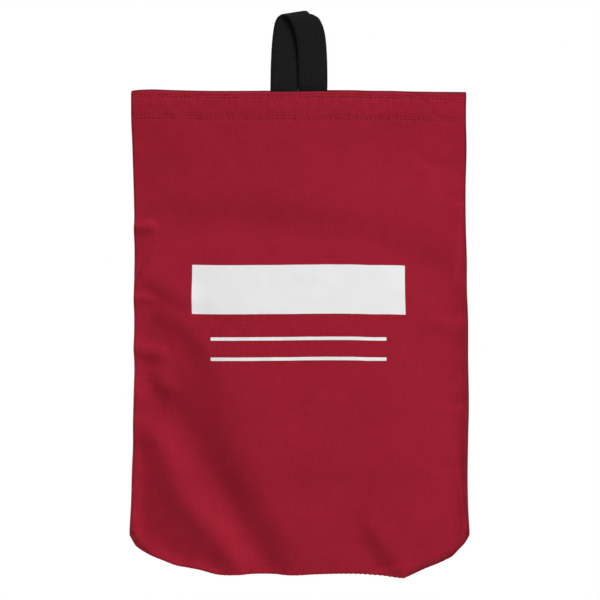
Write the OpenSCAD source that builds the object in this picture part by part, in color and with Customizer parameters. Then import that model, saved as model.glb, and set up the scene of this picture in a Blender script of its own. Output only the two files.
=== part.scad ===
// Flat cloth storage bag for a breathing mask, hung by a webbing loop.
// Millimetres. X is to the right, the front faces -Y and Z is up.
// The origin is the inside of the top of the loop, where a hook carries the bag.

/* [Bag] */
// Width of the bag, laid flat
bag_w = 300; // [240:1:360]
// Height of the bag from its base to its mouth
bag_h = 434; // [360:1:520]
// Length along the base of each slanted lower corner
corner_w = 84; // [50:1:110]
// Height along the side of each slanted lower corner
corner_h = 36; // [15:1:60]
// Swell of each panel at its fullest, past the flat of the mouth
belly_d = 16; // [10:1:30]
// Swell of each panel that is left at the base
base_d = 10; // [9:1:24]
// Height of the fullest part above the base
belly_z = 110; // [60:1:180]
// Width of the soft roll along each side seam
roll_w = 14; // [10:1:20]
// Height that the folded base reaches up into the bag
fold_h = 24; // [10:1:36]

/* [Folds of the front] */
// Depth of the long valley at the lower left
valley_d = 2.4; // [0:0.2:2.4]
// Height of the ridge between the valley and the left seam
ridge_h = 2.6; // [0:0.2:4]
// Height of the shoulder on the other side of the valley
shoulder_h = 2.4; // [0:0.2:4]
// Height of the soft fold across the upper part
upper_h = 2; // [0:0.2:4]
// Depth of the sag at the lower right
sag_d = 2.6; // [0:0.2:2.6]
// Half the width of the valley and of the ridge
fold_w = 14; // [11:1:20]
// Half the width of the shoulder, the upper fold and the sag
broad_w = 24; // [18:1:30]
// Length over which the folds fade near the side seams, the hem and the folded base
fade_l = 16; // [12:1:24]

/* [Cloth] */
// Thickness of the woven outer cloth
shell_t = 0.8; // [0.5:0.1:1.4]
// Thickness of the soft lining
lining_t = 1.5; // [0.8:0.1:2.2]
// Height of the turned hem at the mouth
hem_h = 26; // [24:1:40]
// Distance of the front lip below the back lip
lip_step = 1; // [0:0.5:3]
// Width of the tape that binds each side seam
binding_w = 9; // [6:1:14]
// Thickness of the tape that binds each side seam
binding_t = 1.4; // [0.8:0.1:2]

/* [Closure] */
// Height of the hook strip and of the loop strip
strip_h = 18; // [12:1:20]
// Thickness of each strip, pile included
strip_t = 1.4; // [1:0.1:2.2]
// Distance of the strips below the mouth
strip_drop = 3.5; // [2:0.5:6]
// Distance of the strip ends from the ends of the hem
strip_inset = 4; // [2:1:30]

/* [Hang loop] */
// Width of the webbing
web_w = 25; // [15:1:38]
// Thickness of the webbing
web_t = 1.6; // [1:0.1:2.4]
// Height of the loop above the mouth
loop_h = 70; // [50:1:110]
// Radius inside the bend at the top of the loop
bend_r = 4.5; // [3.5:0.5:8]
// Sideways shift of each leg's middle at the bend
bend_x = 6; // [0:0.5:12]
// Height above the mouth of the line that the loop folds on
root_z = 2; // [2:0.5:6]
// Length of webbing that is sewn into the hem
tail_l = 21; // [15:1:23]

/* [Stitching] */
// Diameter of the sewing thread
thread_d = 0.8; // [0.5:0.1:1]
// Depth that a stitch sinks into the cloth
thread_sink = 0.5; // [0.2:0.1:0.5]
// Length of one stitch
stitch_l = 2.4; // [1.5:0.1:4]
// Distance from one stitch to the next
stitch_pitch = 3.4; // [2.4:0.1:6]
// Distance of the edge row below the lip
edge_row = 4; // [2:0.5:8]
// Distance of the hem row below the lip
hem_row = 23.5; // [18:0.5:23.5]
// Length of the bar tacks on each webbing tail
tack_l = 20; // [10:1:24]
// Height of one bar tack
tack_h = 2.2; // [1:0.1:3]
// Distance of the bar tacks below the edge row and above the end of the tail
tack_in = 2.5; // [2:0.5:4]

/* [Print] */
// Width of the plain white field
field_w = 191; // [80:1:220]
// Height of the plain white field
field_h = 46; // [20:1:70]
// Distance of the middle of the field below the mouth
field_drop = 178; // [120:1:220]
// Width of the two plain rules below the field
rule_w = 157; // [60:1:200]
// Height of one rule
rule_h = 3; // [2:0.5:6]
// Distance of the middle of the first rule below the mouth
rule_drop = 222; // [215:1:260]
// Distance from one rule to the next
rule_pitch = 18; // [8:1:30]
// Thickness of the print
film_t = 0.2; // [0.1:0.1:0.5]

/* [Hidden] */
// Clearance between two layers of cloth that lie on each other
layer_gap = 0.3;
// Clearance between pieces that move past each other
move_gap = 0.4;
// Clearance of each half of the side seam from the middle plane
seam_gap = 0.25;
// Powers of the curve of a lower corner, along the base and up the side
corner_p = 1.8;
corner_q = 1.6;
// Share of a leg's height where it reaches its full spread, and where it starts to lean
spread_end = 0.8;
lean_start = 0.35;
// Columns and rows of the back, of the front with its folds, and of the print
back_cols = 20;
back_rows = 16;
front_cols = 26;
front_rows = 21;
print_cols = 12;
print_rows = 3;
// Lines that the folds follow, as [distance from the side seam, height above the base]
valley_line = [[34, 150], [50, 126], [74, 89], [98, 49], [110, 29]];
ridge_line = [[18, 136], [27, 100], [50, 62], [74, 30]];
shoulder_line = [[48, 244], [80, 194], [105, 124], [120, 84]];
sag_line = [[128, 92], [116, 62], [108, 40]];
// The upper fold, as [distance from the left seam, distance below the mouth], with the same at the right seam
upper_start = [46, 78];
upper_end = [46, 94];
// Rings of a leg and of the bend of the loop, and angles of the rings that round its sewn ends
leg_rings = 12;
bend_rings = 10;
root_angles = [80, 50, 25];
$fn = 24;

half_w = bag_w / 2;
base_z = -bag_h;
flat_z = -lip_step - hem_h;
full_z = base_z + belly_z;
hem_t = max(2 * shell_t, web_t);
strip_y = move_gap / 2;
hem_y = strip_y + strip_t;
mouth_d = hem_y + hem_t + shell_t;
edge_d = seam_gap + shell_t;
web_y = hem_y + hem_t / 2;
mouth_z = web_t - loop_h;
binding_x = half_w - roll_w / 2;
inner_half = binding_x - binding_w - 2 * layer_gap;
strip_half = inner_half - strip_inset;
tip_x = half_w - roll_w * 2 / 3;
row_half = half_w - roll_w;
leg_x = (web_w + layer_gap) / 2;
tails_half = leg_x + web_w / 2;
bend_m = bend_r + web_t / 2;
axis_z = mouth_z + root_z;

red = [0.56, 0.12, 0.18];
dark_red = [0.46, 0.09, 0.14];
fleece = [0.16, 0.16, 0.17];
black = [0.11, 0.11, 0.12];
white = [0.93, 0.92, 0.94];

// Eased step from 0 to 1
function ease(t) = let (c = max(0, min(1, t))) c * c * (3 - 2 * c);

// Height of the lower edge of the bag at a distance x from the middle, a flat base with curved corners
function foot(x) = let (s = max(0, min(1, (abs(x) - half_w + corner_w) / corner_w)))
    base_z + corner_h * (1 - pow(1 - pow(s, corner_p), 1 / corner_q));

// Swell of a panel at the height z: none at the hem, most at full_z, a little less at the base
function swell(z) = z > full_z
    ? belly_d * ease((flat_z - z) / (flat_z - full_z))
    : belly_d - (belly_d - base_d) * pow((full_z - z) / belly_z, 2);

// Distance of the outer face of a panel from the middle plane
function depth(x, z) = edge_d + (mouth_d - edge_d) * ease((half_w - abs(x)) / roll_w)
    + swell(z) * (1 - pow(x / half_w, 2));

// Folds of the front: [height, half width, points]
function from_left(line) = [for (p = line) [p.x - half_w, base_z + p.y]];
function from_right(line) = [for (p = line) [half_w - p.x, base_z + p.y]];
front_folds = [
    [-valley_d, fold_w, from_left(valley_line)],
    [ridge_h, fold_w, from_left(ridge_line)],
    [shoulder_h, broad_w, from_left(shoulder_line)],
    [upper_h, broad_w, [[upper_start.x - half_w, -upper_start.y], [half_w - upper_end.x, -upper_end.y]]],
    [-sag_d, broad_w, from_right(sag_line)]];

// Distance of a point from a stretch of a line, and from a whole line
function off_stretch(p, a, b) = let (t = max(0, min(1, (p - a) * (b - a) / ((b - a) * (b - a)))))
    norm(p - a - t * (b - a));
function off_line(p, line) = min([for (i = [0:len(line) - 2]) off_stretch(p, line[i], line[i + 1])]);

// Height of the folds at a point: bell curves that fade at the side seams, the hem and the folded base
function relief(x, z) = ease((half_w - roll_w - abs(x)) / fade_l) * ease((flat_z - z) / fade_l)
    * ease((z - foot(x) - fold_h) / fade_l)
    * ([for (f = front_folds) f[0]] * [for (f = front_folds) exp(-pow(off_line([x, z], f[2]) / f[1], 2))]);

// Slope of the two flaps of the folded base, and their thickness measured upright
function flap_w(x) = depth(x, foot(x)) - shell_t - move_gap;
flap_slope = fold_h / flap_w(0);
function upright(t) = t * sqrt(1 + flap_slope * flap_slope);

// Height above the base edge where the lining of a panel starts, clear of the lining of the base
lining_foot = upright(shell_t + lining_t) + flap_slope * (lining_t + 2 * layer_gap) + 3 * layer_gap;

// Columns of a panel, closer together near the side seams, and those of its lining
function columns(n) = [for (i = [0:n]) half_w * sin(90 * (2 * i / n - 1))];
function columns_within(half, n) = concat([-half], [for (x = columns(n)) if (abs(x) < half - 1) x], [half]);

// Grids of [x, z] points. A lining keeps to the rows of its panel, above the folded base and below the hem
function steps(low, high, n) = [for (j = [0:n]) low + (high - low) * j / n];
function panel_grid(lip, cols, rows) = [for (x = columns(cols))
    [for (z = concat(steps(foot(x), flat_z, rows), [lip])) [x, z]]];
function lining_grid(cols, rows) = [for (x = columns_within(inner_half, cols))
    let (low = foot(x) + lining_foot, zs = steps(foot(x), flat_z, rows))
    [for (j = [0:rows]) [x, min(flat_z - layer_gap, max(low + j * layer_gap, zs[j]))]]];
function print_grid(w, h, drop) = [for (x = steps(-w / 2, w / 2, print_cols))
    [for (z = steps(-drop - h / 2, -drop + h / 2, print_rows)) [x, z]]];

function quad(a, b, c, d) = [[a, b, c], [a, c, d]];
function flat(lists) = [for (list = lists) for (item = list) item];

// A sheet over a grid of [x, z] points, from the depth plus near to the depth plus far, towards -Y
module sheet(grid, near, far, folded = false) {
    rows = len(grid[0]);
    last = len(grid) - 1;
    all = flat(grid);
    n = len(all);
    out = [for (p = all) depth(p.x, p.y) + (folded ? relief(p.x, p.y) : 0)];
    points = flat([for (more = [far, near]) [for (i = [0:n - 1]) [all[i].x, -out[i] - more, all[i].y]]]);
    faces = flat(concat(
        [for (i = [0:last - 1]) for (j = [0:rows - 2]) let (k = i * rows + j)
            quad(k, k + 1, k + rows + 1, k + rows)],
        [for (i = [0:last - 1]) for (j = [0:rows - 2]) let (k = n + i * rows + j)
            quad(k, k + rows, k + rows + 1, k + 1)],
        [for (j = [0:rows - 2]) quad(j, j + n, j + n + 1, j + 1)],
        [for (j = [0:rows - 2]) let (k = last * rows + j) quad(k, k + 1, k + n + 1, k + n)],
        [for (i = [0:last - 1]) let (k = i * rows) quad(k, k + rows, k + rows + n, k + n)],
        [for (i = [0:last - 1]) let (k = i * rows + rows - 1) quad(k, k + n, k + rows + n, k + rows)]));
    polyhedron(points, faces);
}

// A skin through rings of points, closed at both ends by the triangles of its first ring
module skin(rings, cap) {
    m = len(rings[0]);
    last = len(rings) - 1;
    points = flat(rings);
    sides = [for (k = [0:last - 1]) for (i = [0:m - 1]) let (a = k * m + i, b = k * m + (i + 1) % m)
        quad(a, a + m, b + m, b)];
    ends = concat(cap, [for (t = cap) [t[2] + last * m, t[1] + last * m, t[0] + last * m]]);
    polyhedron(points, concat(flat(sides), ends));
}

// Places what is modelled with the mouth at height 0 and the middle plane of the bag at y = 0
module in_bag() {
    translate([0, -web_y, mouth_z]) children();
}

module in_bag_back() {
    in_bag() mirror([0, 1, 0]) children();
}

// A flat strip on the front half, between two heights and two depths
module strip(half, low, high, near, thick) {
    translate([-half, -near - thick, low]) cube([2 * half, thick, high - low]);
}

// A row of stitches across the front half at the height z
module stitch_row(z) {
    count = floor(2 * row_half / stitch_pitch);
    for (i = [0:count - 1])
        translate([(i - (count - 1) / 2) * stitch_pitch, -mouth_d - thread_d / 2 + thread_sink, z])
            rotate([0, 90, 0]) cylinder(d = thread_d, h = stitch_l, center = true);
}

// One layer of the folded base: two flaps that rise from the base edges to a fold in the middle
module folded_base(lift, thick) {
    tall = upright(thick);
    rings = [for (x = columns_within(tip_x, back_cols)) let (w = flap_w(x), low = foot(x) + lift, top = low + w * flap_slope)
        [[x, -w, low], [x, 0, top], [x, w, low], [x, w, low + tall], [x, 0, top + tall], [x, -w, low + tall]]];
    skin(rings, flat([quad(0, 1, 4, 5), quad(1, 2, 3, 4)]));
}

// Tape along one side seam, against the back panel
module seam_binding(side) {
    low = foot(tip_x) + flap_w(tip_x) * flap_slope + upright(shell_t + lining_t) + 4 * layer_gap;
    back = depth(binding_x, flat_z) - shell_t - layer_gap;
    x = side > 0 ? binding_x - binding_w : -binding_x;
    translate([x, back - binding_t, low]) cube([binding_w, binding_t, -layer_gap - low]);
}

// Middle line of the webbing, [y, z, sideways place], up the front leg, over the bend, down the back leg
function leg_point(t, side) = [side * bend_m * ease(t / spread_end), axis_z + t * (-bend_r - axis_z),
    -side * (leg_x + (bend_x - leg_x) * ease((t - lean_start) / (1 - lean_start)))];
webbing_path = concat(
    [for (i = [0:leg_rings]) leg_point(i / leg_rings, -1)],
    [for (i = [1:bend_rings - 1]) let (a = 180 - 180 * i / bend_rings)
        [bend_m * cos(a), -bend_r + bend_m * sin(a), bend_x - 2 * bend_x * i / bend_rings]],
    [for (i = [leg_rings:-1:0]) leg_point(i / leg_rings, 1)]);

// Corners of the webbing at one point of its path, square to the way that the path runs
function webbing_ring(i) = let (p = webbing_path[i], last = len(webbing_path) - 1,
    a = webbing_path[max(0, i - 1)], b = webbing_path[min(last, i + 1)],
    run = norm([b[0] - a[0], b[1] - a[1]]),
    n = [a[1] - b[1], b[0] - a[0]] * web_t / 2 / run)
    [for (c = [[-1, -1], [1, -1], [1, 1], [-1, 1]])
        [p[2] + c[1] * web_w / 2, p[0] + c[0] * n[0], p[1] + c[0] * n[1]]];

// Corners of a rounded sewn end of the webbing, at an angle below the line that the loop folds on
function root_ring(angle, side) = [for (c = [[-1, -1], [1, -1], [1, 1], [-1, 1]])
    [-side * leg_x + c[1] * web_w / 2, c[0] * side * web_t / 2 * cos(angle), axis_z - web_t / 2 * sin(angle)]];

module back_panel() {
    color(red) in_bag_back() sheet(panel_grid(0, back_cols, back_rows), -shell_t, 0);
}

module back_lining() {
    color(fleece) in_bag_back()
        sheet(lining_grid(back_cols, back_rows), -shell_t - layer_gap - lining_t, -shell_t - layer_gap);
}

module back_hem() {
    slot_half = tails_half + layer_gap;
    color(dark_red) in_bag_back() difference() {
        strip(inner_half, -hem_h, 0, hem_y, hem_t);
        strip(slot_half, -tail_l - layer_gap, 1, hem_y - 1, hem_t + 2);
    }
}

module loop_strip() {
    color(black) in_bag_back() strip(strip_half, -strip_drop - strip_h, -strip_drop, strip_y, strip_t);
}

module back_edge_stitches() {
    color(dark_red) in_bag_back() stitch_row(-edge_row);
}

module back_hem_stitches() {
    color(dark_red) in_bag_back() stitch_row(-hem_row);
}

module base_panel() {
    color(red) in_bag() folded_base(0, shell_t);
}

module base_lining() {
    color(fleece) in_bag() folded_base(upright(shell_t) + layer_gap, lining_t);
}

module left_seam_binding() {
    color(black) in_bag() seam_binding(-1);
}

module right_seam_binding() {
    color(black) in_bag() seam_binding(1);
}

// The two sewn ends of the webbing, side by side in the slot of the back hem
module loop_tails() {
    top = root_z - web_t / 2 - move_gap;
    color(black) in_bag() for (side = [-1, 1])
        translate([side * leg_x - web_w / 2, hem_y, -tail_l]) cube([web_w, web_t, tail_l + top]);
}

// Dense rows of thread through the back panel and the webbing tails
module loop_bar_tacks() {
    deep = mouth_d + thread_d - thread_sink - web_y;
    color(dark_red) in_bag() for (side = [-1, 1]) for (z = [-edge_row - tack_in, tack_in - tail_l])
        translate([side * leg_x - tack_l / 2, web_y, z - tack_h / 2]) cube([tack_l, deep, tack_h]);
}

module front_panel() {
    color(red) in_bag() sheet(panel_grid(-lip_step, front_cols, front_rows), -shell_t, 0, true);
}

module front_lining() {
    color(fleece) in_bag()
        sheet(lining_grid(front_cols, front_rows), -shell_t - layer_gap - lining_t, -shell_t - layer_gap, true);
}

module front_hem() {
    color(dark_red) in_bag() strip(inner_half, flat_z, -lip_step, hem_y, hem_t);
}

module hook_strip() {
    color(black) in_bag() strip(strip_half, -strip_drop - strip_h, -strip_drop, strip_y, strip_t);
}

module front_edge_stitches() {
    color(dark_red) in_bag() stitch_row(-lip_step - edge_row);
}

module front_hem_stitches() {
    color(dark_red) in_bag() stitch_row(-lip_step - hem_row);
}

// A plain field and two rules to write on
module print_field() {
    color(white) in_bag() {
        sheet(print_grid(field_w, field_h, field_drop), layer_gap, layer_gap + film_t, true);
        for (drop = [rule_drop, rule_drop + rule_pitch])
            sheet(print_grid(rule_w, rule_h, drop), layer_gap, layer_gap + film_t, true);
    }
}

module hang_loop() {
    count = len(root_angles);
    rings = concat([for (angle = root_angles) root_ring(angle, -1)],
        [for (i = [0:len(webbing_path) - 1]) webbing_ring(i)],
        [for (i = [count - 1:-1:0]) root_ring(root_angles[i], 1)]);
    color(black) skin(rings, quad(0, 1, 2, 3));
}

back_panel();
back_lining();
back_hem();
loop_strip();
back_edge_stitches();
back_hem_stitches();
base_panel();
base_lining();
left_seam_binding();
right_seam_binding();
loop_tails();
loop_bar_tacks();
front_panel();
front_lining();
front_hem();
hook_strip();
front_edge_stitches();
front_hem_stitches();
print_field();
hang_loop();
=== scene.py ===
# %% [markdown]
# # A soft storage bag of red woven cloth
# The real bag is two cloth panels sewn together at the sides, with a folded base inside, a hook-and-loop
# mouth and a loop of black webbing to hang it by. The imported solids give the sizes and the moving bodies.
# This file dresses them: every soft solid is replaced by a sheet that is worked out with numpy.
# A cloth simulation could find the folds too, but each fold here follows a line of its own, because that
# puts it where this bag has it and gives the same result on every run.

# %% Load the frame
import math

import bpy
import numpy as np
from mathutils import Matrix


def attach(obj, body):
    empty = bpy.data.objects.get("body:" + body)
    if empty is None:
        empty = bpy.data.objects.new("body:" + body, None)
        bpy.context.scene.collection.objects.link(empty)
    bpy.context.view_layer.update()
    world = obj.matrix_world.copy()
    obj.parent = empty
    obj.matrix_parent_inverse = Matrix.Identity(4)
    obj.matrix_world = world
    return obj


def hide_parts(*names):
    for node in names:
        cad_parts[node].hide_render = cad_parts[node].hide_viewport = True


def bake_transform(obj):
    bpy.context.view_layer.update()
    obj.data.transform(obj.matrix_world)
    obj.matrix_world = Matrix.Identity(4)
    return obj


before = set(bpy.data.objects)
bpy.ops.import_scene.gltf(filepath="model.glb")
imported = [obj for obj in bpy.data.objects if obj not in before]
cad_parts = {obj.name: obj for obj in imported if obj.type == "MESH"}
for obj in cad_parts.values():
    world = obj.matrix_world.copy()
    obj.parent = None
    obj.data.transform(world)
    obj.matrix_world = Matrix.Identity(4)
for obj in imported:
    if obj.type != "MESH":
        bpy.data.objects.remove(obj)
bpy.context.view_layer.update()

# %% [markdown]
# ## Camera
# The bag is seen square from the front. A long lens from far away is chosen, because a product picture of a
# flat thing shows hardly any perspective. The view is square, so its width is also its height.

# %% Camera
MM = 0.001
MIDDLE_Y = -2.4  # the plane between the front and the back of the bag, in millimetres
MOUTH_Z = -68.4  # the lip of the back, in millimetres
VIEW_WIDTH = 537.3
VIEW_CENTRE = (1.34, -256.0)
LENS, SENSOR = 200.0, 36.0

camera_data = bpy.data.cameras.new("front_camera")
camera_data.lens, camera_data.sensor_width = LENS, SENSOR
camera = bpy.data.objects.new("front_camera", camera_data)
bpy.context.scene.collection.objects.link(camera)
distance = VIEW_WIDTH * LENS / SENSOR
camera.location = [c * MM for c in (VIEW_CENTRE[0], MIDDLE_Y - distance, VIEW_CENTRE[1])]
camera.rotation_euler = (math.pi / 2, 0, 0)
bpy.context.scene.camera = camera
bpy.context.scene.view_settings.view_transform = "Standard"
print("camera stands", round(distance * MM, 3), "m in front of the bag")

# %% [markdown]
# ## A short way to write shader nodes
# Nodes can be placed and wired one by one, which takes four lines each. These helpers do it in one line: an
# input is given as a number, a colour, or another node's output, and then it is wired.


# %% Node helpers
def add(tree, kind, settings=None, inputs=None):
    """Adds a node of a kind, sets its properties, and fills its inputs by name or number."""
    made = tree.nodes.new(kind)
    for name, value in (settings or {}).items():
        setattr(made, name, value)
    for key, value in (inputs or {}).items():
        socket = made.inputs[key]
        if isinstance(value, bpy.types.NodeSocket):
            tree.links.new(value, socket)
        else:
            socket.default_value = value
    return made


def calc(tree, operation, a, b=None, c=None):
    """One Math node: operation(a, b, c)."""
    values = {i: v for i, v in enumerate((a, b, c)) if v is not None}
    return add(tree, "ShaderNodeMath", {"operation": operation}, values).outputs[0]


def ramp(tree, value, low, high, to_low=0.0, to_high=1.0):
    """Eases a value from one range to another, and holds it there at both ends."""
    made = add(tree, "ShaderNodeMapRange", {"interpolation_type": "SMOOTHSTEP"},
               {0: value, 1: low, 2: high, 3: to_low, 4: to_high})
    return made.outputs[0]


def mixed(tree, share, a, b):
    """A colour between a and b."""
    return add(tree, "ShaderNodeMix", {"data_type": "RGBA"}, {0: share, 6: a, 7: b}).outputs[2]


def split(tree, vector):
    """The x, y and z of a vector."""
    return add(tree, "ShaderNodeSeparateXYZ", None, {0: vector}).outputs


def noise(tree, place, scale, detail, roughness=0.5):
    """Soft noise, about 0.5 on average."""
    values = {"Vector": place, "Scale": scale, "Detail": detail, "Roughness": roughness}
    return add(tree, "ShaderNodeTexNoise", None, values).outputs["Fac"]


def uv_map(tree, name):
    """One of the piece's own UV maps, in metres."""
    return add(tree, "ShaderNodeUVMap", {"uv_map": name}).outputs[0]


# %% Group and material helpers
def new_group(name, takes, gives):
    """An empty shader node group with named inputs and outputs, and its two end nodes."""
    group = bpy.data.node_groups.new(name, "ShaderNodeTree")
    for socket, kind, value in takes:
        made = group.interface.new_socket(socket, in_out="INPUT", socket_type=kind)
        if value is not None:
            made.default_value = value
    for socket in gives:
        group.interface.new_socket(socket, in_out="OUTPUT", socket_type="NodeSocketFloat")
    return group, group.nodes.new("NodeGroupInput").outputs, group.nodes.new("NodeGroupOutput").inputs


def place_group(tree, group, inputs):
    """Puts a node group into a material and returns its outputs."""
    return add(tree, "ShaderNodeGroup", {"node_tree": group}, inputs).outputs


def new_material(name, sheen=0.0, specular=0.5):
    """A material with its own Principled BSDF. Plain values go on the shader's own sockets."""
    material = bpy.data.materials.new(name)
    material.use_nodes = True
    tree = material.node_tree
    shader = next(n for n in tree.nodes if n.type == "BSDF_PRINCIPLED")
    shader.inputs["Sheen Weight"].default_value = sheen
    shader.inputs["Sheen Roughness"].default_value = 0.5
    shader.inputs["Specular IOR Level"].default_value = specular
    return material, tree, shader.inputs


def bumped(tree, height, distance_mm, strength):
    """The normal of a surface that a height between 0 and 1 raises by a distance."""
    values = {"Strength": strength, "Distance": distance_mm * MM, "Height": height}
    return add(tree, "ShaderNodeBump", None, values).outputs["Normal"]


def dress(tree, shader, colour, rough, normal):
    """Wires a colour, a roughness and a normal into the shader."""
    for socket, value in (("Base Color", colour), ("Roughness", rough), ("Normal", normal)):
        tree.links.new(value, shader[socket])


# %% [markdown]
# ## Shared effects: weave, slubs and nap
# Cloth, webbing and tape are all woven, so one group draws the yarns: over and under each other, as a plain
# weave does. A second group draws slubs, the thick and thin places that run along a yarn. Both read the
# piece's own flat UV map, in metres, so that the pattern follows the cloth round a fold. A third group draws
# the nap of fleece and pile, which has no direction, so it reads the place in the object instead.

# %% Weave group
weave_group, takes, gives = new_group(
    "plain_weave", [("Flat", "NodeSocketVector", None), ("Pitch", "NodeSocketFloat", 0.0008)],
    ["Height", "Gap"])
per_yarn = calc(weave_group, "DIVIDE", 1.0, takes["Pitch"])
scaled = add(weave_group, "ShaderNodeVectorMath", {"operation": "SCALE"},
             {0: takes["Flat"], "Scale": per_yarn}).outputs[0]
axes = split(weave_group, scaled)
bows = []
for i in (0, 1):
    phase = calc(weave_group, "MULTIPLY", calc(weave_group, "FRACT", axes[i]), math.pi)
    bows.append(calc(weave_group, "SINE", phase))
cells = calc(weave_group, "ADD", calc(weave_group, "FLOOR", axes[0]), calc(weave_group, "FLOOR", axes[1]))
on_top = calc(weave_group, "FLOORED_MODULO", cells, 2.0)
crowns = [calc(weave_group, "MULTIPLY", bows[i], calc(weave_group, "MULTIPLY_ADD", bows[1 - i], 0.45, 0.55))
          for i in (0, 1)]
lift = calc(weave_group, "SUBTRACT", crowns[0], crowns[1])
height = calc(weave_group, "MULTIPLY_ADD", lift, on_top, crowns[1])
weave_group.links.new(height, gives["Height"])
weave_group.links.new(calc(weave_group, "SUBTRACT", 1.0, height), gives["Gap"])
print("weave group has", len(weave_group.nodes), "nodes")

# %% Slub group
slub_group, takes, gives = new_group(
    "yarn_slubs", [("Flat", "NodeSocketVector", None), ("Pitch", "NodeSocketFloat", 0.0008),
                   ("Length", "NodeSocketFloat", 0.012)], ["Value"])
per_yarn = calc(slub_group, "DIVIDE", 1.0, takes["Pitch"])
per_length = calc(slub_group, "DIVIDE", 1.0, takes["Length"])
streaks = []
for across, down in ((per_yarn, per_length), (per_length, per_yarn)):
    stretch = add(slub_group, "ShaderNodeCombineXYZ", None, {0: across, 1: down, 2: 1.0}).outputs[0]
    spot = add(slub_group, "ShaderNodeVectorMath", {"operation": "MULTIPLY"},
               {0: takes["Flat"], 1: stretch}).outputs[0]
    streaks.append(noise(slub_group, spot, 1.0, 1.0))
slub_group.links.new(calc(slub_group, "MULTIPLY", calc(slub_group, "ADD", *streaks), 0.5), gives["Value"])
print("slub group has", len(slub_group.nodes), "nodes")

# %% Nap group
nap_group, takes, gives = new_group(
    "soft_nap", [("Place", "NodeSocketVector", None), ("Tuft", "NodeSocketFloat", 0.0012)],
    ["Height", "Value"])
per_tuft = calc(nap_group, "DIVIDE", 1.0, takes["Tuft"])
fine = noise(nap_group, takes["Place"], per_tuft, 3.0, 0.6)
broad = noise(nap_group, takes["Place"], 60.0, 2.0)
nap_group.links.new(fine, gives["Height"])
nap_group.links.new(calc(nap_group, "MULTIPLY", calc(nap_group, "ADD", fine, broad), 0.5), gives["Value"])
print("shared groups:", [g.name for g in (weave_group, slub_group, nap_group)])

# %% [markdown]
# ## The red cloth and its print
# The shell is a heavy plain-woven cloth, about thirty yarns to the inch, and its inside is drawn dark. Its
# red isn't even: slubs make fine streaks, and larger patches took the dye a little differently. The gaps
# between the yarns are drawn darker, which is painted shade. The dark inside shows as a line at the lip,
# which is painted shade between the two lips. A darker line in the right seam, round its lower corner and
# beside its low end is painted shade too. The white field is ink pressed through a screen, so the weave still
# shows in it. An image could hold all this, but a formula has no limit of sharpness, and the field's size
# stays a number.

# %% Print and painted shade at the edges
INK_FIELDS = [  # each printed shape: middle across, middle below the mouth, width and height, in millimetres
    (-1.2, -176.8, 191.4, 43.8),
    (-1.2, -220.7, 157.0, 3.0),
    (-1.2, -238.7, 157.0, 3.0),
]
RED = ((0.246, 0.0079, 0.0205, 1), (0.372, 0.0137, 0.0330, 1))  # the darkest yarns and the lightest
INK = ((0.77, 0.775, 0.78, 1), (0.85, 0.855, 0.86, 1))
DARK_INSIDE_AND_SHADE = (0.10, 0.004, 0.010, 1)


def ink_mask(tree, flat, frayed):
    """1 inside any printed rectangle: half size less the distance from its middle, eased over 0.3 mm."""
    axes = split(tree, flat)
    mask = None
    for x, z, wide, high in INK_FIELDS:
        sides = []
        for axis, middle, size in ((axes[0], x, wide), (axes[1], z, high)):
            away = calc(tree, "ABSOLUTE", calc(tree, "SUBTRACT", axis, middle * MM))
            sides.append(calc(tree, "SUBTRACT", size / 2 * MM, away))
        inside = calc(tree, "ADD", calc(tree, "MINIMUM", *sides), frayed)
        inside = ramp(tree, inside, -0.15 * MM, 0.15 * MM)
        mask = inside if mask is None else calc(tree, "MAXIMUM", mask, inside)
    return mask


def dark_inside_and_lip_shade(tree, flat):
    """Share of the dark inside: most from the top of the lip on, which is painted shade, and all of it
    inside.
    """
    way = split(tree, flat)[1]
    at_lip = ramp(tree, way, -0.4 * MM, 0.0, 0.0, 0.8)
    return calc(tree, "ADD", at_lip, ramp(tree, way, 4 * MM, 9 * MM, 0.0, 0.2))


def painted_seam_shade(tree):
    """Painted shade: a dark line in the right seam, round its lower corner, and a wider band beside its low
    end.
    """
    ways = split(tree, uv_map(tree, "inset"))
    # painted shade: these darken the right seam, its lower corner and the cloth beside its low end
    edge = ramp(tree, ways[0], 1.6 * MM, 2.4 * MM, 0.6, 0.0)
    corner_shade = calc(tree, "MULTIPLY", ramp(tree, ways[1], 2.0 * MM, 3.6 * MM, 0.5, 0.0),
                  ramp(tree, ways[0], 46 * MM, 58 * MM, 1.0, 0.0))
    low_seam_shade = calc(tree, "MULTIPLY", ramp(tree, ways[0], 1.0 * MM, 8.0 * MM, 0.28, 0.0),
                ramp(tree, ways[1], 40 * MM, 220 * MM, 1.0, 0.0))
    return calc(tree, "MAXIMUM", edge, calc(tree, "MAXIMUM", corner_shade, low_seam_shade))


print(len(INK_FIELDS), "printed shapes, the largest", INK_FIELDS[0][2], "by", INK_FIELDS[0][3], "mm")


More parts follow.
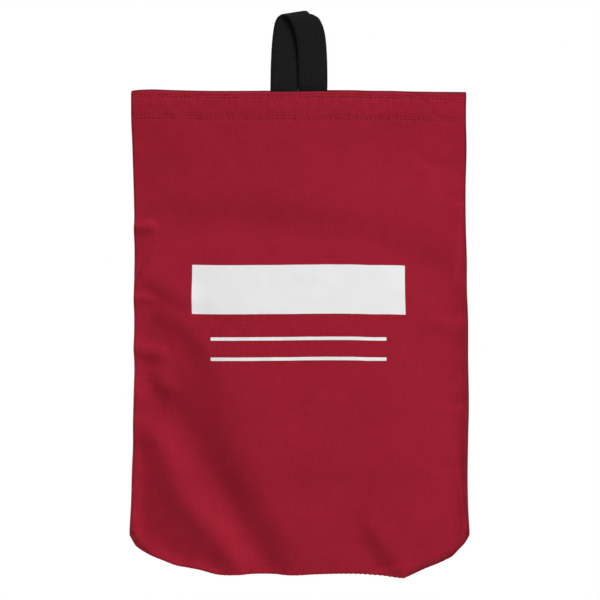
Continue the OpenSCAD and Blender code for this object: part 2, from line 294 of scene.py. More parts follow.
# %% Red cloth material
def red_cloth(name, printed, shaded_seam):
    """Plain-woven red cloth, with or without the print, and with or without painted shade in a right seam."""
    material, tree, shader = new_material(name, sheen=0.02, specular=0.06)
    flat = uv_map(tree, "flat")
    weave = place_group(tree, weave_group, {"Flat": flat, "Pitch": 0.85 * MM})
    slubs = place_group(tree, slub_group, {"Flat": flat, "Pitch": 1.1 * MM, "Length": 14 * MM})["Value"]
    patches = noise(tree, flat, 22.0, 3.0)
    tone = calc(tree, "MULTIPLY_ADD", slubs, 1.4, -0.40)
    tone = calc(tree, "MULTIPLY_ADD", patches, 0.4, tone)
    # painted shade: the gaps between the yarns are drawn darker
    tone = calc(tree, "MULTIPLY_ADD", weave["Gap"], -0.12, tone)
    colour = mixed(tree, tone, *RED)
    dark = dark_inside_and_lip_shade(tree, flat)
    # painted shade along the right seam
    if shaded_seam:
        dark = calc(tree, "MAXIMUM", dark, painted_seam_shade(tree))
    # the dark inside colour, which is painted shade at the lip and in the right seam
    colour = mixed(tree, dark, colour, DARK_INSIDE_AND_SHADE)
    height = weave["Height"]
    rough = ramp(tree, weave["Gap"], 0.0, 1.0, 0.72, 0.9)
    if printed:
        frayed = calc(tree, "MULTIPLY_ADD", slubs, 0.5 * MM, -0.25 * MM)
        mask = ink_mask(tree, flat, frayed)
        cover = calc(tree, "MULTIPLY", mask, ramp(tree, weave["Gap"], 0.55, 1.0, 1.0, 0.82))
        colour = mixed(tree, cover, colour, mixed(tree, patches, *INK))
        rough = calc(tree, "MULTIPLY_ADD", mask, -0.2, rough)
        height = calc(tree, "MULTIPLY_ADD", mask, 0.35, height)
    dress(tree, shader, colour, rough, bumped(tree, height, 0.16, 0.7))
    return material


shell_print = red_cloth("red_cloth_printed", True, True)
shell_plain = red_cloth("red_cloth", False, True)
base_red = red_cloth("red_cloth_base", False, False)
print("red cloth materials:", [m.name for m in (shell_print, shell_plain, base_red)])

# %% [markdown]
# ## Webbing, tapes, fleece and thread
# The webbing is a thick black weave with a smooth selvedge at each edge. The tapes are thinner, with fine
# ribs across. The lining is charcoal fleece, which scatters light in its nap, so it gets some sheen. The
# thread is dyed to the cloth, a little lighter where it catches the light. Each could be built by hand, but
# they share so much that two functions with a few values make all six.


# %% Black webbing, tapes, fleece and thread
WEB_W = 25.0


def woven_black(name, pitch, dark, light, depth_mm, width=None):
    """Black woven tape. Where a width is given, the weave fades into a smooth selvedge at both edges."""
    material, tree, shader = new_material(name, sheen=0.02, specular=0.04)
    flat = uv_map(tree, "flat")
    weave = place_group(tree, weave_group, {"Flat": flat, "Pitch": pitch * MM})
    streaks = {"Flat": flat, "Pitch": pitch * 1.4 * MM, "Length": 20 * MM}
    tone = calc(tree, "MULTIPLY_ADD", place_group(tree, slub_group, streaks)["Value"], 1.1, -0.2)
    # painted shade: the gaps between the yarns are drawn darker
    tone = calc(tree, "MULTIPLY_ADD", weave["Gap"], -0.35, tone)
    height = weave["Height"]
    if width:
        across = calc(tree, "ABSOLUTE", split(tree, flat)[0])
        selvedge = ramp(tree, across, (width / 2 - 2.2) * MM, (width / 2 - 1.4) * MM)
        height = calc(tree, "MULTIPLY", height, calc(tree, "MULTIPLY_ADD", selvedge, -0.6, 1.0))
        tone = calc(tree, "MULTIPLY_ADD", selvedge, -0.25, tone)
    rough = ramp(tree, weave["Gap"], 0.0, 1.0, 0.6, 0.85)
    dress(tree, shader, mixed(tree, tone, dark, light), rough, bumped(tree, height, depth_mm, 0.8))
    return material


def napped(name, tuft, dark, light, depth_mm, sheen):
    """Fleece, pile or thread: a fine uneven nap with a soft sheen."""
    material, tree, shader = new_material(name, sheen=sheen, specular=0.06)
    place = add(tree, "ShaderNodeTexCoord").outputs["Object"]
    nap = place_group(tree, nap_group, {"Place": place, "Tuft": tuft * MM})
    rough = ramp(tree, nap["Value"], 0.2, 0.8, 0.8, 0.95)
    normal = bumped(tree, nap["Height"], depth_mm, 0.9)
    dress(tree, shader, mixed(tree, nap["Value"], dark, light), rough, normal)
    return material


webbing = woven_black("black_webbing", 1.25, (0.0068, 0.0068, 0.0074, 1), (0.0172, 0.0172, 0.0184, 1),
                      0.3, WEB_W)
tape = woven_black("black_tape", 0.7, (0.008, 0.008, 0.009, 1), (0.02, 0.02, 0.021, 1), 0.2)
fleece = napped("charcoal_fleece", 1.6, (0.012, 0.012, 0.014, 1), (0.045, 0.045, 0.05, 1), 0.7, 0.35)
pile = napped("black_pile", 0.5, (0.006, 0.006, 0.007, 1), (0.022, 0.022, 0.024, 1), 0.2, 0.25)
hook_yarn = napped("black_hook_yarn", 0.4, (0.008, 0.008, 0.009, 1), (0.03, 0.03, 0.032, 1), 0.05, 0.0)
red_thread = napped("red_thread", 0.45, (0.28, 0.0115, 0.025, 1), (0.49, 0.028, 0.052, 1), 0.12, 0.05)
print("black and soft materials:", [m.name for m in (webbing, tape, fleece, pile, hook_yarn, red_thread)])

# %% [markdown]
# ## From arrays to pieces
# Every piece below is a grid of points: rows and columns, or rings along a path. One function puts such
# arrays into a mesh with foreach_set, which is much faster than adding vertices one at a time. The normals
# come from the grid too, because then two halves that meet on one line shade as one surface.


# %% Mesh helpers
def build_mesh(name, points, faces, material, flat=None, normals=None, inset=None):
    """A smooth mesh object from points (any shape, 3), a list of face arrays, and UV maps in metres."""
    points = np.asarray(points, float).reshape(-1, 3)
    sizes = np.concatenate([np.full(len(f), f.shape[1]) for f in faces])
    corners = np.concatenate([f.ravel() for f in faces]).astype(np.int32)
    starts = np.concatenate([[0], np.cumsum(sizes)[:-1]]).astype(np.int32)
    mesh = bpy.data.meshes.new(name)
    mesh.vertices.add(len(points))
    mesh.vertices.foreach_set("co", points.ravel())
    mesh.loops.add(len(corners))
    mesh.loops.foreach_set("vertex_index", corners)
    mesh.polygons.add(len(sizes))
    mesh.polygons.foreach_set("loop_start", starts)
    mesh.polygons.foreach_set("use_smooth", np.ones(len(sizes), bool))
    for word, values in (("flat", flat), ("inset", inset)):
        if values is not None:
            layer = mesh.uv_layers.new(name=word)
            layer.uv.foreach_set("vector", np.asarray(values, float).reshape(-1, 2)[corners].ravel())
    mesh.update(calc_edges=True)
    if normals is not None:
        mesh.normals_split_custom_set_from_vertices(np.asarray(normals, float).reshape(-1, 3))
    mesh.materials.append(material)
    made = bpy.data.objects.new(name, mesh)
    bpy.context.scene.collection.objects.link(made)
    print(f"{name}: {len(points)} points, {len(sizes)} faces")
    return made


def make_piece(name, points, faces, material, flat=None, normals=None, inset=None):
    """A mesh object that is a piece of the bag."""
    piece = build_mesh(name, points, faces, material, flat, normals, inset)
    return piece


# %% Closed sheets
def unit(vectors):
    """Vectors of length 1."""
    return vectors / np.maximum(np.linalg.norm(vectors, axis=-1, keepdims=True), 1e-12)


def there_and_back(first, second):
    """Rows of a closed sheet: up its first face and down its second. A face is its x, out and z."""
    faces = zip(np.broadcast_arrays(*first), np.broadcast_arrays(*second))
    return [np.concatenate([a, b[::-1]]) for a, b in faces]


def ring_faces(rows, columns, flip=False):
    """Faces of a closed sheet whose rows go up one face and down the other, with both ends capped.
    Point (r, c) is r * columns + c, and the last row joins the first."""
    r, c = np.meshgrid(np.arange(rows), np.arange(columns - 1), indexing="ij")
    up = (r + 1) % rows
    walls = np.stack([r * columns + c, r * columns + c + 1, up * columns + c + 1, up * columns + c], -1)
    k = np.arange(rows // 2 - 1)
    near = np.stack([k, k + 1, rows - 2 - k, rows - 1 - k], -1) * columns
    faces = np.concatenate([walls.reshape(-1, 4), near, near[:, ::-1] + columns - 1])
    return [faces[:, ::-1] if flip else faces]


def ring_normals(points, flip=False):
    """Unit normals of a closed sheet: across the columns times along the rows, where the rows close."""
    along = np.roll(points, -1, 0) - np.roll(points, 1, 0)
    across = np.gradient(points, axis=1)
    return unit(np.cross(across, along)) * (-1 if flip else 1)


def turned_sheet(name, points, material, flat, inset=None):
    """A piece from a closed sheet whose rings run the other way round, so its faces are flipped."""
    faces = ring_faces(*points.shape[:2], flip=True)
    return make_piece(name, points, faces, material, flat, ring_normals(points, flip=True), inset)


print("a closed sheet of 4 rows and 3 columns has", len(ring_faces(4, 3)[0]), "faces")

# %% [markdown]
# ## The outline of the bag
# Laid flat, the bag is almost a rectangle. Its sides wander by a millimetre or two, its lower corners are
# slanted where the base is folded in, and its base edge waves. Straight lines would do for a new bag. A used
# one needs more, so a smooth curve through a few measured points gives each side, the lip and the foot.


# %% Outline
def ease(t):
    """Smooth step from 0 to 1: 3 t^2 - 2 t^3."""
    t = np.clip(t, 0.0, 1.0)
    return t * t * (3.0 - 2.0 * t)


def bell(d):
    """Bell curve: exp(-d^2)."""
    return np.exp(-(d**2))


def through(x, knots, values):
    """Smooth curve through points: a cubic between each two, with the slope of their neighbours."""
    knots, values = np.asarray(knots, float), np.asarray(values, float)
    slope = np.gradient(values, knots)
    i = np.clip(np.searchsorted(knots, x) - 1, 0, len(knots) - 2)
    h = knots[i + 1] - knots[i]
    t = np.clip((x - knots[i]) / h, 0, 1)
    return ((2 * t**3 - 3 * t**2 + 1) * values[i] + (t**3 - 2 * t**2 + t) * h * slope[i]
            + (3 * t**2 - 2 * t**3) * values[i + 1] + (t**3 - t**2) * h * slope[i + 1])


HALF_W = 150.0
BASE_Z, TOOTH = -433.5, 4.25
LEFT_EDGE = [  # height from the mouth and place across
    (-440, -152.0), (-392, -151.2), (-371, -150.0), (-340, -149.1), (-318, -148.2), (-296, -148.1),
    (-274, -147.5), (-242, -147.0), (-231, -147.6), (-220, -147.2), (-200, -147.1), (-188, -147.6),
    (-170, -147.1), (-136, -147.0), (-124, -147.5), (-115, -147.1), (-102, -147.3), (-70, -148.2),
    (-48, -148.9), (-27, -149.8), (0, -150.0)]
RIGHT_EDGE = [
    (-440, 153.4), (-392, 153.0), (-380, 152.2), (-360, 151.5), (-310, 151.9), (-285, 152.5),
    (-240, 151.9), (-204, 151.8), (-178, 150.8), (-150, 150.7), (-120, 149.8), (-90, 149.6),
    (-52, 150.5), (-20, 150.0), (0, 150.4)]
LIP = [  # place across and height from the mouth
    (-152, -0.4), (-146, 0.7), (-138, 1.2), (-110, 0.6), (-88, 0.1), (-30, 0.1), (35, 0.6), (50, 0.5),
    (62, 0.1), (85, -0.1), (100, -0.6), (113, -0.8), (152, -1.1)]
FOOT = [  # the same, for the waving base edge between the slanted corners, with a drooping tip on the right
    (-150, -398), (-147, -403), (-145, -406.5), (-140, -410.8), (-134, -414.2), (-119, -420.6),
    (-108, -424.8), (-97, -426.8), (-87, -428.8), (-71, -433), (-55, -433.4), (-39, -432.4),
    (-23, -432.6), (-4, -433.7), (15, -432.8), (40, -432.4), (72, -433.9), (87, -435.9), (92, -436.3),
    (97, -434.3), (108, -429.2), (129, -420.1), (135, -416.6), (140, -411.2), (146, -404.6), (150, -398)]


def side_edges(z):
    """Left and right edge of the bag at a height."""
    return through(z, *zip(*LEFT_EDGE)), through(z, *zip(*RIGHT_EDGE))


def spread(nominal, z):
    """Place across the bag at a height, for a place on a bag with straight sides."""
    left, right = side_edges(z)
    return np.where(nominal < 0, -left, right) * nominal / HALF_W


def lip_line(x):
    """Height of the back lip above the mouth's nominal height, which sinks a little to the right."""
    return through(x, *zip(*LIP))


def seam_teeth(x):
    """A wave with one tooth for each stitch of the base seam, strongest right of the middle."""
    return np.sin(x * 2 * np.pi / TOOTH) * (0.3 + 0.7 * bell((x - 66) / 30))


def foot_line(x):
    """Height of the lower edge, with the small teeth that its stitches pull in the straight part."""
    return through(x, *zip(*FOOT)) + 0.28 * seam_teeth(x) * ease((140 - np.abs(x)) / 20)


lower_edge = foot_line(np.linspace(-HALF_W, HALF_W, 301))
print("lower edge in mm:", round(lower_edge.min(), 1), "to", round(lower_edge.max(), 1))

# %% [markdown]
# ## Folds
# A fold in cloth is a soft ridge or valley that follows a line and fades at its ends. Each one here is a
# line, a height, a tilt and a width. Its section is a bell curve, and the tilt makes one flank rise and the
# other sink, as where the cloth steps down. Lines that start at a side seam are drag lines: the seam is a
# little shorter than the cloth, so the cloth gathers there. The long pair at the lower left is where the bag
# was folded round its base. Sculpting could draw them too, but a list of lines can be read and moved.


# %% Fold tools
def nearest(x, z, line):
    """Distance from a smooth line, plus on its left and minus on its right, and the share along it."""
    line = np.asarray(line, float)
    knots = np.arange(len(line))
    fine = np.linspace(0, len(line) - 1, 8 * (len(line) - 1) + 1)
    ends = np.stack([through(fine, knots, line[:, 0]), through(fine, knots, line[:, 1])], 1)
    pieces = np.linalg.norm(np.diff(ends, axis=0), axis=1)
    start = np.concatenate([[0], np.cumsum(pieces)])
    best, side, place = np.full(np.shape(x), 1e9), np.ones(np.shape(x)), np.zeros(np.shape(x))
    for a, b, s0, length in zip(ends[:-1], ends[1:], start, pieces):
        ahead = (b - a) / length
        t = np.clip((x - a[0]) * ahead[0] + (z - a[1]) * ahead[1], 0, length)
        off_x, off_z = x - a[0] - t * ahead[0], z - a[1] - t * ahead[1]
        away = np.hypot(off_x, off_z)
        closer = away < best
        side = np.where(closer, np.sign(ahead[0] * (z - a[1]) - ahead[1] * (x - a[0])), side)
        place = np.where(closer, s0 + t, place)
        best = np.minimum(best, away)
    return best * side, place / start[-1]


def folds(x, z, lines):
    """Sum of folds: (height + tilt * d) * exp(-d^2), d = distance / width, eased out at both ends."""
    total = np.zeros(np.shape(x))
    for height, tilt, width, fade_in, fade_out, line in lines:
        away, place = nearest(x, z, line)
        ends = ease(place / fade_in) * ease((1 - place) / fade_out)
        total += (height + tilt * away / width) * bell(away / width) * ends
    return total


def soft_waves(x, z, seed, lengths, count=9):
    """Low waves in many directions: a sum of sines with seeded directions and phases."""
    draw = np.random.default_rng(seed)
    total = np.zeros(np.broadcast(x, z).shape)
    for angle, start, length in zip(draw.uniform(0, np.pi, count), draw.uniform(0, 2 * np.pi, count),
                                    draw.uniform(*lengths, count)):
        total += np.sin((x * np.cos(angle) + z * np.sin(angle)) * 2 * np.pi / length + start)
    return total / np.sqrt(count)


lone_fold = folds(0.0, 0.0, [(2.0, 0.0, 10, 0.2, 0.2, [(-50, 0), (0, 0), (50, 0)])])
print("a fold of height 2 stands", round(float(lone_fold), 2), "mm high at the middle of its line")

# %% [markdown]
# ## Where the folds lie
# The lines of the front were picked on a picture of the bag. The first heights, tilts and widths came
# from a separate program, which fitted them to the shading in that picture. They were then rounded: 14 of the
# 30 rows still hold them, and the other 16 were changed or added one by one. Choosing all of them by eye
# would make the list easier to follow. No picture showed the back, so its folds are made up.

# %% Where the folds lie
FRONT_FOLDS = [  # height, tilt, width, fade at the start, fade at the end, line of (across, below the mouth)
    # the long pair at the lower left: a step, a valley, a ridge and the hollow beside the seam
    (0.5, 2.0, 22, 0.3, 0.02, [(-92, -204), (-78, -268), (-56, -340), (-25, -402), (-8, -437)]),
    (-3.5, 1.0, 18, 0.15, 0.02, [(-133, -270), (-108, -290), (-67, -358), (-33, -412), (-20, -438)]),
    (1.5, 0.0, 11, 0.05, 0.02, [(-149, -290), (-115, -326), (-106, -358), (-74, -398), (-52, -431)]),
    (0.5, 3.5, 17, 0.1, 0.02, [(-141, -295), (-126, -349), (-113, -376), (-65, -422), (-54, -438)]),
    (-0.5, 2.5, 14, 0.1, 0.1, [(-147, -304), (-144, -340), (-137, -376), (-119, -398), (-88, -422)]),
    # drag lines from the left seam, and the fullness along it
    (2.5, 0.0, 12, 0.15, 0.15, [(-150, -140), (-149, -220), (-149, -300), (-150, -375)]),
    (1.5, 2.0, 14, 0.1, 0.3, [(-146, -164), (-126, -177), (-108, -188), (-92, -202)]),
    (1.0, 1.5, 12, 0.2, 0.3, [(-137, -195), (-113, -209), (-92, -225), (-81, -250)]),
    (0.5, 2.5, 12, 0.2, 0.3, [(-137, -252), (-124, -266), (-110, -279)]),
    (2.0, -1.5, 8, 0.02, 0.4, [(-149, -227), (-133, -231), (-110, -236)]),
    (2.5, -0.5, 12, 0.02, 0.5, [(-149, -270), (-140, -270), (-131, -274)]),
    (1.5, -0.5, 4, 0.02, 0.5, [(-149, -184), (-138, -185), (-124, -188)]),
    (2.5, 0.0, 5, 0.02, 0.4, [(-151, -122), (-138, -122), (-122, -123)]),
    (0.0, -1.0, 5, 0.02, 0.5, [(-151, -34), (-140, -34), (-126, -39)]),
    # the broad fold across the upper part, with the hollows above it and beside it
    (-0.8, 0.0, 15, 0.1, 0.05,
     [(-146, -119), (-52, -118), (20, -127), (56, -133), (83, -144), (123, -158), (150, -167)]),
    (0.5, 1.5, 24, 0.1, 0.5, [(-146, -109), (-34, -108), (42, -114), (86, -127), (127, -145)]),
    (-2.0, 0.0, 45, 0.02, 0.5, [(-150, -116), (-60, -116), (20, -122)]),
    (0.0, -3.0, 50, 0.35, 0.02, [(0, -86), (60, -82), (150, -92)]),
    (-1.5, 2.5, 40, 0.2, 0.2, [(-142, 0), (-138, -53), (-122, -102)]),
    (-0.5, 0.5, 5, 0.2, 0.2, [(89, -37), (109, -57), (127, -66), (145, -60)]),
    (-1.0, 0.0, 8, 0.3, 0.3, [(52, -25), (77, -34), (98, -46)]),
    # the sag at the lower right and the pull of the right seam
    (0.0, 3.5, 14, 0.45, 0.02, [(50, -374), (65, -402), (79, -422), (94, -446)]),
    (0.0, 2.0, 50, 0.1, 0.02, [(-60, -410), (40, -414), (152, -402)]),
    (-2.5, 0.5, 32, 0.3, 0.05, [(28, -340), (52, -385), (66, -434)]),
    (1.0, 0.5, 9, 0.3, 0.02, [(109, -204), (128, -211), (152, -216)]),
    (0.0, -0.5, 6, 0.3, 0.02, [(120, -279), (132, -282), (152, -286)]),
    (2.0, 0.5, 10, 0.1, 0.1, [(146, -152), (150, -223), (150, -295), (152, -385)]),
    # slow bends of the whole panel
    (-0.5, 1.0, 19, 0.2, 0.2, [(-26, -347), (28, -343), (109, -347)]),
    (1.5, -1.5, 53, 0.2, 0.2, [(-60, -161), (-33, -259), (12, -367)]),
    (-0.5, -1.0, 53, 0.2, 0.2, [(109, -143), (118, -259), (123, -385)]),
]
BACK_FOLDS = [
    (-1.8, 0.0, 26, 0.1, 0.1, [(-150, -128), (-70, -116), (20, -120), (90, -132), (150, -120)]),
    (-1.3, 0.0, 5, 0.05, 0.5, [(152, -140), (136, -142), (112, -150)]),
    (3.4, 0.0, 12, 0.25, 0.02, [(146, -250), (118, -290), (86, -340), (52, -396), (34, -438)]),
    (-2.2, 0.0, 12, 0.25, 0.02, [(120, -240), (84, -290), (54, -344), (22, -402), (8, -438)]),
    (-2.4, 0.0, 9, 0.12, 0.1, [(140, -300), (122, -345), (96, -392), (62, -430)]),
    (-1.6, 0.0, 8, 0.35, 0.02, [(-70, -372), (-84, -402), (-96, -438)]),
    (-1.1, 0.0, 7, 0.35, 0.05, [(-96, -210), (-124, -222), (-152, -232)]),
    (-1.0, 0.0, 5, 0.35, 0.05, [(-112, -62), (-130, -70), (-152, -76)]),
    (0.9, 0.0, 8, 0.3, 0.3, [(-40, -200), (10, -214), (64, -206)]),
]
print(len(FRONT_FOLDS), "folds on the front and", len(BACK_FOLDS), "on the back")

# %% [markdown]
# ## The face of a panel
# The distance of a panel from the middle plane is a flat part, a swell that is fullest low down, and the
# folds. The swell starts below the broad fold across the upper part, so it starts lower on the right. At the
# side seams and the base the cloth gathers in short puckers, and a soft rim stands beside each seam. At the
# hem it is doubled and stiff, so the folds die out there, two rows of stitches pull it in, and its left end
# leans out a little. Noise could roughen a panel in one step, but it can't tell a seam from a hem.

# %% Smooth shape of a panel
FLAT_OUT = 4.0  # half the thickness of the closed mouth
SWELL_FULL, SWELL_BASE = 16.0, 5.0
SWELL_Z, FULL_Z = -122.0, -300.0  # where the swell starts, and where it is fullest
SWELL_FALL, SWELL_SOFT = 40.0, 10.0  # how much lower it starts on the right, and how softly
FULLNESS, SLACK = 0.8, 2.8  # share of the swell that an empty bag keeps, and the ease that lets folds form
HEM_H = 27.0


def swell(x, z):
    """Swell of a panel: a parabola from its start to its fullest height, and another down to the base."""
    start = SWELL_Z - SWELL_FALL * ease((x - 10) / 150)
    way = SWELL_SOFT * np.logaddexp(0, (start - z) / SWELL_SOFT) / (start - FULL_Z)
    above = SWELL_FULL * (1 - np.clip(1 - way, 0, 1) ** 2)
    below = SWELL_FULL - (SWELL_FULL - SWELL_BASE) * np.clip((FULL_Z - z) / (FULL_Z - BASE_Z), 0, 2) ** 2
    return np.where(z > FULL_Z, above, below)


def body_out(x, z):
    """Smooth shape of a panel: a flat part, some slack below the hem, and the swell, which falls with the
    square of the way to the seam."""
    side = np.clip(np.abs(x) / HALF_W, 0, 1)
    slack = SLACK * ease((-HEM_H + 6 - z) / 100) * (1 - 0.5 * side**6)
    return FLAT_OUT + slack + FULLNESS * swell(x, z) * (1 - side**2)


print("smooth panel at its fullest:", round(float(body_out(0.0, FULL_Z)), 2), "mm from the middle plane")

# %% Relief at the seams
GATHER, PUCKER = 0.28, 0.4
RIMS = [  # side, where the rim starts to grow, its width up there, and how much higher it gets
    (-1, -130, 5.0, 3.8),
    (1, -230, 3.0, 3.0),
]
BASE_RIM, TIP_SINK = 1.8, 4.0  # the rim along the left of the base, and the sunk edge at the drooping tip


def seam_relief(x, z, to_base, seed):
    """Gathers along the side seams, puckers along the base, and the rims."""
    gather = np.sin(z / 3.1 + 2 * np.sin(z / 21 + seed)) + 0.7 * np.sin(z / 5.7 + seed)
    out = GATHER * gather * np.exp(-(HALF_W - np.abs(x)) / 7) * ease((-30 - z) / 20)
    out += PUCKER * seam_teeth(x) * np.exp(-to_base / 4)
    for side, start, narrow, high in RIMS:
        low = ease((start - z) / (start + 400))
        away = np.maximum(HALF_W - side * x, 0)
        out += (0.5 + high * low) * bell(away / (narrow + 3.0 * low)) * ease((-6 - z) / 30)
    out += BASE_RIM * bell(to_base / 5) * ease((40 - x) / 80)
    return out - TIP_SINK * bell(to_base / 3.2) * ease((x - 88) / 15)


seam_out = [round(float(seam_relief(side * HALF_W, FULL_Z, 130.0, 3)), 2) for side in (-1, 1)]
print("relief at the left and right seam:", seam_out, "mm")

# %% Relief of the hem
EDGE_ROW, HEM_ROW = 4.2, 23.4  # rows of stitches, below the lip of their panel
STITCH_START, STITCH_PITCH = 0.6, 3.93  # the stitches start beside the middle of the bag
LEAN, PULL, PIT, BULGE = 1.4, 0.1, 0.35, 0.35  # each in millimetres, at its most


def stitch_pits(x):
    """1 where a stitch dives into the cloth and 0 between: half of 1 + cos(2 pi * way / pitch)."""
    return 0.5 + 0.5 * np.cos(2 * np.pi * (np.abs(x) - STITCH_START) / STITCH_PITCH)


def hem_relief(x, z, below, seed):
    """The hem leans out on its left, its rows of stitches pull it in, and it bulges between them."""
    out = LEAN * ease((60 - x) / 180) * ease((60 - below) / 60)
    for row in (EDGE_ROW, HEM_ROW):
        pits = PIT * (0.7 + 0.3 * x / HALF_W) * stitch_pits(x) ** 2
        out = out - (PULL + pits) * bell((below - row) / 2.4)
    doubled = ease((HEM_H + 3 - below) / 4)
    bulge = np.sin(np.pi * np.clip((below - EDGE_ROW) / (HEM_ROW - EDGE_ROW), 0, 1))
    return out + (BULGE * bulge + 0.10 * soft_waves(x, z, seed + 2, (7, 16), 12)) * doubled


pit_share = [round(float(stitch_pits(STITCH_START + step * STITCH_PITCH)), 2) for step in (0, 0.25, 0.5)]
print("share of a pit at a stitch's end, quarter and middle:", pit_share)

# %% Face of a panel
FOLD_GAIN, BROAD_WAVE, RIPPLE = 1.3, 0.12, 0.10
CORNER_OUT = 3.6  # the lower corners are pinched flat
LOWEST_OUT = 3.2  # room for the cloth, the fleece and a little air between the two sides
LIP_STEP = 1.6  # the front lip is lower than the back lip


def panel_out(x, z, lines, seed, lip_drop):
    """Distance of the outer face from the middle plane, before the edges roll in."""
    to_base = np.maximum(z - foot_line(x), 0)
    loose = FOLD_GAIN * folds(x, z, lines) + BROAD_WAVE * soft_waves(x, z, seed, (30, 80))
    out = body_out(x, z) + loose * ease((-18 - z) / 34)
    out += RIPPLE * soft_waves(x, z, seed + 1, (12, 26), 14) * ease((-24 - z) / 14)
    out += seam_relief(x, z, to_base, seed)
    out += (CORNER_OUT - out) * ease((np.abs(x) - 130) / 14) * bell(to_base / 5)
    out = LOWEST_OUT + 0.5 * np.logaddexp(0, (out - LOWEST_OUT) / 0.5)
    return out + hem_relief(x, z, lip_line(x) - lip_drop - z, seed)


def front_out(x, z):
    """Outer face of the front."""
    return panel_out(x, z, FRONT_FOLDS, 3, LIP_STEP)


def back_out(x, z):
    """Outer face of the back."""
    return panel_out(x, z, BACK_FOLDS, 11, 0.0)


def in_frame(x, out, z, side):
    """Bag millimetres to frame metres. Side -1 puts 'out' towards the front, +1 towards the back."""
    x, out, z = np.broadcast_arrays(x, out, z)
    return np.stack([x, MIDDLE_Y + side * out, MOUTH_Z + z], -1) * MM


middle_out = [round(float(face(0.0, FULL_Z)), 2) for face in (front_out, back_out)]
print("front and back at the middle:", middle_out, "mm from the middle plane")

# %% [markdown]
# ## A sewn panel as one closed sheet
# The panel starts in the base seam, rolls round to the outer face, runs up to the lip, turns over it, comes
# down inside as the hem, steps off the hem onto the inner face, and ends in the base seam again. Solidify
# could thicken a plain sheet, but it can't turn a hem. So each column of the grid is a closed ring of
# points. The side edges roll in towards the seam in the same way.

# %% Panel grid
ROLL_R, CLOTH_T, LIP_R = 2.4, 0.8, 1.2
ROLL_TURN = np.radians([-35, -18, 0, 15, 30, 45, 60, 75])
ROLL_DEEP = ROLL_R * (1 - math.sin(ROLL_TURN[0]))  # from the top of the roll to its end in the seam
print("a seam rolls in by", round(ROLL_DEEP, 2), "mm")


def rolled_edge(inner):
    """A quarter roll at a seam: way in from the edge and drop below the face, outside or inside."""
    r = ROLL_R - CLOTH_T if inner else ROLL_R
    return ROLL_R - r * np.cos(ROLL_TURN), ROLL_R - r * np.sin(ROLL_TURN)


def panel_columns(count, inner):
    """Places and drops of the columns from the left seam to the right, closer together in the rolls."""
    inset, drop = rolled_edge(inner)
    inset = np.concatenate([inset, np.linspace(ROLL_R, HALF_W, count)])
    drop = np.concatenate([drop, np.full(count, CLOTH_T if inner else 0.0)])
    nominal = np.concatenate([inset - HALF_W, (HALF_W - inset)[-2::-1]])
    return nominal, np.concatenate([drop, drop[-2::-1]])


def panel_face(face, side_count, row_count, hem_count, lip_drop, inner):
    """One face of a panel as x, out and z, and the places of its columns on a bag with straight sides.
    Its rows go from the base seam to just under the lip."""
    nominal, col_drop = panel_columns(side_count, inner)
    inset, row_roll = rolled_edge(inner)
    thick = CLOTH_T if inner else 0.0
    base, lip = foot_line(nominal), lip_line(nominal) - lip_drop
    slant = np.sqrt(1 + np.clip(np.abs(np.gradient(base, nominal)), 0, 2) ** 2)
    low, hem_z = base + ROLL_R * slant, lip - HEM_H - 3
    share = np.linspace(0, 1, row_count)[:, None]
    hem_share = np.linspace(0, 1, hem_count + 1)[1:, None]
    z = np.concatenate([base + inset[:, None] * slant, low + (hem_z - low) * share,
                        hem_z + (lip - LIP_R - hem_z) * hem_share])
    row_drop = np.concatenate([row_roll, np.full(row_count + hem_count, thick)])[:, None]
    x = spread(nominal, z)
    kept = 1 - (col_drop - thick) / (ROLL_DEEP - thick)
    out = np.maximum((face(x, z) - thick) * kept - row_drop + thick, 0.02 + 0.4 * inner)
    return x, out, z, nominal


# %% Whole panel
HEM_FACE, HEM_SIDE = 1.6, 138.0  # the inner face of a hem, and where it thins out towards the seams
LIP_TURN = np.radians([30, 60, 90, 120, 150, 165])[:, None]  # from the outer face over to the hem


def sewn_panel(face, side, side_count, row_count, hem_count, lip_drop, pocket=None):
    """A whole panel as rings: up the outer face, over the lip, and down the hem and the inner face.
    Gives its points, its flat UV map, and an inset map of the ways from the right seam and the base."""
    xo, yo, zo, nominal = panel_face(face, side_count, row_count, hem_count, lip_drop, False)
    xi, yi, zi, _ = panel_face(face, side_count, row_count, hem_count, lip_drop, True)
    lip, base = lip_line(nominal) - lip_drop, foot_line(nominal)
    doubled = ease((HEM_SIDE - np.abs(nominal)) / 6) * (lip - zi < HEM_H)
    hem = HEM_FACE if pocket is None else HEM_FACE + pocket(xi, zi)
    yi = yi + (np.minimum(hem, yi) - yi) * doubled
    middle, half = (yo[-1] + yi[-1]) / 2, (yo[-1] - yi[-1]) / 2
    top = np.broadcast_arrays((xo[-1] + xi[-1]) / 2, middle + half * np.cos(LIP_TURN),
                              lip - LIP_R + LIP_R * np.sin(LIP_TURN))
    x, out, z = (np.concatenate([a, b, c[::-1]]) for a, b, c in zip((xo, yo, zo), top, (xi, yi, zi)))
    inside = (np.arange(len(z)) >= len(z) // 2)[:, None]
    unfolded = z - lip + 2 * (1 + lip - z) * inside
    to_base = (z - base) / np.sqrt(1 + np.gradient(base, nominal) ** 2)
    across = np.broadcast_to(nominal, z.shape)
    flat, inset = (np.stack(pair, -1) * MM for pair in ((across, unfolded), (HALF_W - across, to_base)))
    return in_frame(x, out, z, side), flat, inset


# %% [markdown]
# ## Front of the bag
# When the mouth is pulled open, the side seams stay shut and the middle of the front moves forward. So the
# front is cut down the middle into a left and a right half. The halves share their points and normals on the
# middle line, so no cut shows.

# %% Front cloth
HALVES = (("left", -1), ("right", 1))


def bend_half(piece):
    """Bakes the transform of a piece of the front into its points."""
    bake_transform(piece)


